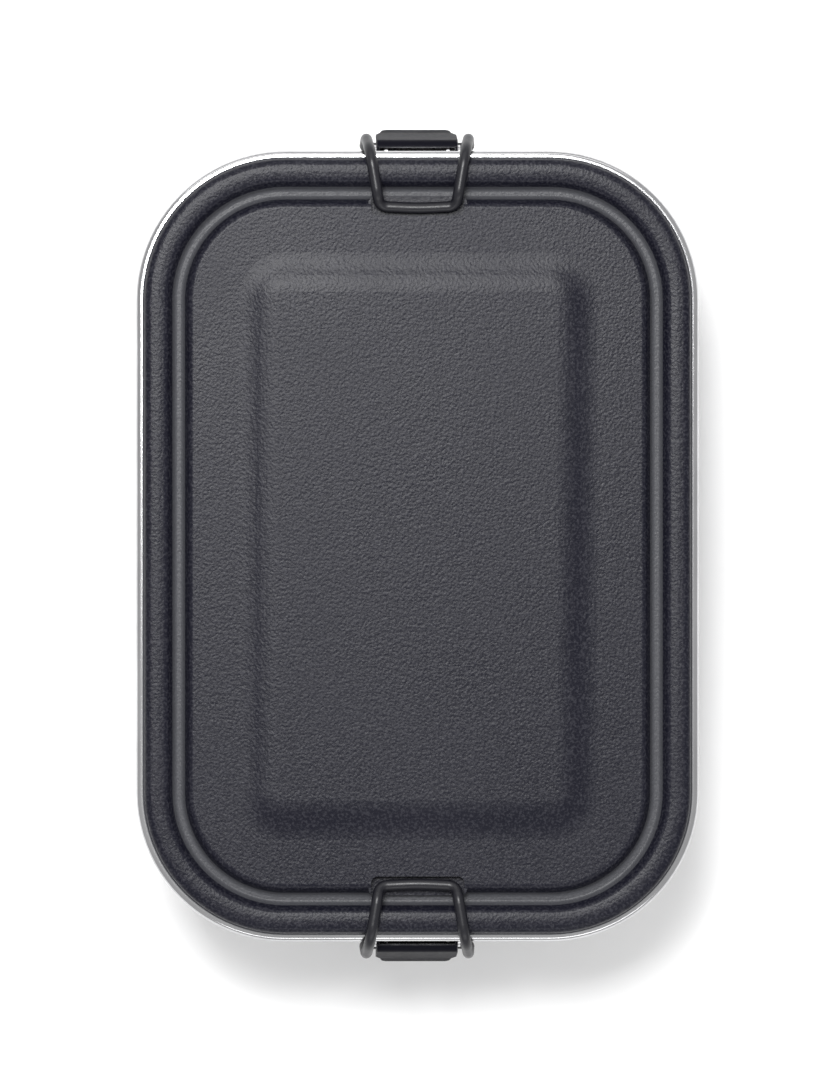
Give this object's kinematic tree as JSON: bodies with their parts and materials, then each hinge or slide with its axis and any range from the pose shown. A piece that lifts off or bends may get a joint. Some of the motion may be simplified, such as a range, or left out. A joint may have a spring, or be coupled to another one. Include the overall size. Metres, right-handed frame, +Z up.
{
  "type": "lunch box",
  "caption": "Drawn steel food box with a rolled rim, a grooved lift-off lid, a seal and over-centre wire latches on the short ends.",
  "frame": {"origin": "centre of the tray's underside, on the surface the box stands on", "axes": "+Z up, +Y along the box towards the back latch, +X across the box"},
  "size_m": [0.121, 0.1808, 0.0558],
  "materials": {
    "stainless": "satin drawn stainless steel with a brighter rolled rim",
    "powder_coat": "fine-grained matte charcoal powder coat",
    "silicone": "matte translucent grey silicone",
    "bracket_steel": "pressed stainless steel",
    "pin_steel": "turned stainless steel",
    "lever_coat": "smooth satin black coat, worn bright along the edges",
    "coated_wire": "satin black coated spring wire"
  },
  "bodies": {
    "tray": {"tray": "stainless", "back_bracket": "bracket_steel", "back_pivot_pin": "pin_steel", "front_bracket": "bracket_steel", "front_pivot_pin": "pin_steel"},
    "lid": {"lid": "powder_coat", "lid_gasket": "silicone"},
    "back_lever": {"back_lever": "lever_coat"},
    "back_bail": {"back_bail": "coated_wire"},
    "front_lever": {"front_lever": "lever_coat"},
    "front_bail": {"front_bail": "coated_wire"}
  },
  "joints": [
    {"name": "lid_lift", "type": "slide", "parent": "tray", "child": "lid", "axis": [0, 0, 1], "range_m": [0, 0.01]},
    {"name": "back_lever_swing", "type": "hinge", "parent": "tray", "child": "back_lever", "pos_m": [0, 0.0848, 0.0433], "axis": [1, 0, 0], "range_deg": [0, 90]},
    {"name": "back_bail_swing", "type": "hinge", "parent": "back_lever", "child": "back_bail", "pos_m": [0, 0.08582, 0.03995], "axis": [-1, 0, 0], "range_deg": [0, 190]},
    {"name": "front_lever_swing", "type": "hinge", "parent": "tray", "child": "front_lever", "pos_m": [0, -0.0848, 0.0433], "axis": [-1, 0, 0], "range_deg": [0, 90]},
    {"name": "front_bail_swing", "type": "hinge", "parent": "front_lever", "child": "front_bail", "pos_m": [0, -0.08582, 0.03995], "axis": [1, 0, 0], "range_deg": [0, 190]}
  ],
  "couplings": [
    {"joint": "back_lever_swing", "follows": "lid_lift", "rad_per_m": 157.07},
    {"joint": "back_bail_swing", "follows": "lid_lift", "rad_per_m": 331.6},
    {"joint": "front_lever_swing", "follows": "lid_lift", "rad_per_m": 157.07},
    {"joint": "front_bail_swing", "follows": "lid_lift", "rad_per_m": 331.6}
  ]
}
